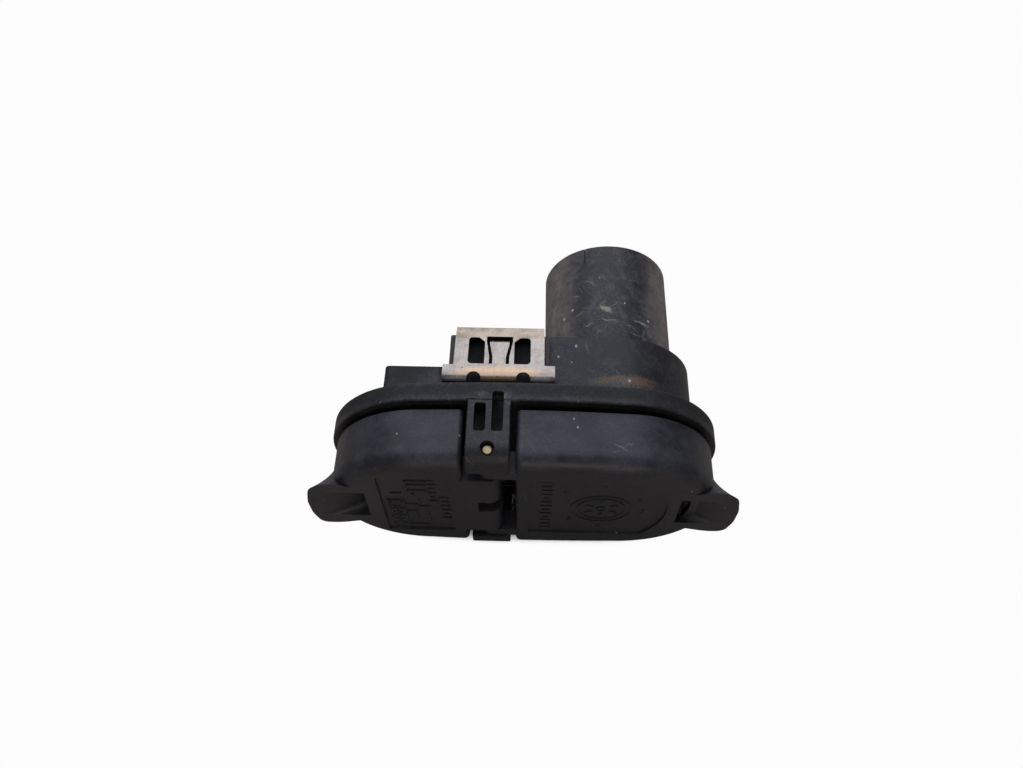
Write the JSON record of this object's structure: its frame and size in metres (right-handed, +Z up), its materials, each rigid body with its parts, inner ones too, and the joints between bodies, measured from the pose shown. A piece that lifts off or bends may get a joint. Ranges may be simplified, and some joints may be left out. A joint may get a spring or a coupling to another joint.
{
  "type": "towbar socket",
  "caption": "Vehicle trailer socket: a round and a flat connector behind one oval flange, closed by two sprung lids on one pin, with spring clips for the bumper opening.",
  "frame": {"origin": "centre of the oval flange's rear face, the plane that seats on the bumper or bracket panel", "axes": "+X to the right seen from the front, +Y into the vehicle along the rear tube, +Z up; the lids face -Y"},
  "size_m": [0.1286, 0.0878, 0.0638],
  "materials": {
    "glass_filled_nylon": "satin",
    "lid_nylon": "satin",
    "pin_brass": "satin",
    "spring_steel": "satin",
    "seal_rubber": "matte",
    "clip_steel": "satin",
    "carrier_nylon": "satin",
    "contact_brass": "satin",
    "block_rubber": "matte"
  },
  "bodies": {
    "socket": {"housing": "glass_filled_nylon", "rear_shroud": "glass_filled_nylon", "hinge_pin": "pin_brass", "round_lid_spring": "spring_steel", "flat_lid_spring": "spring_steel", "carrier_seal": "seal_rubber", "top_clip": "clip_steel", "bottom_clip": "clip_steel", "contact_carrier": "carrier_nylon", "terminal_guide": "carrier_nylon", "centre_contact_pin": "contact_brass", "flat_contact_block": "block_rubber", "flat_male_pin": "contact_brass", "contact_blade_1": "contact_brass", "contact_blade_2": "contact_brass", "contact_blade_3": "contact_brass", "contact_blade_4": "contact_brass", "contact_blade_5": "contact_brass", "contact_blade_6": "contact_brass", "flat_sleeve_1": "contact_brass", "flat_sleeve_2": "contact_brass", "flat_sleeve_3": "contact_brass", "flat_lead_1": "contact_brass", "flat_lead_2": "contact_brass", "flat_lead_3": "contact_brass", "flat_lead_4": "contact_brass"},
    "round_lid_body": {"round_lid": "lid_nylon", "round_lid_seal": "seal_rubber"},
    "flat_lid_body": {"flat_lid": "lid_nylon", "flat_lid_seal": "seal_rubber"}
  },
  "joints": [
    {"name": "round_lid_hinge", "type": "hinge", "parent": "socket", "child": "round_lid_body", "pos_m": [-0.0099, -0.0211, 0], "axis": [0, 0, -1], "range_deg": [0, 90], "stiffness_Nm_per_rad": 0.03, "springref_deg": -34.38, "deforming": ["round_lid_spring"]},
    {"name": "flat_lid_hinge", "type": "hinge", "parent": "socket", "child": "flat_lid_body", "pos_m": [-0.0099, -0.0211, 0], "axis": [0, 0, 1], "range_deg": [0, 40], "stiffness_Nm_per_rad": 0.03, "springref_deg": -34.38, "deforming": ["flat_lid_spring"]}
  ]
}
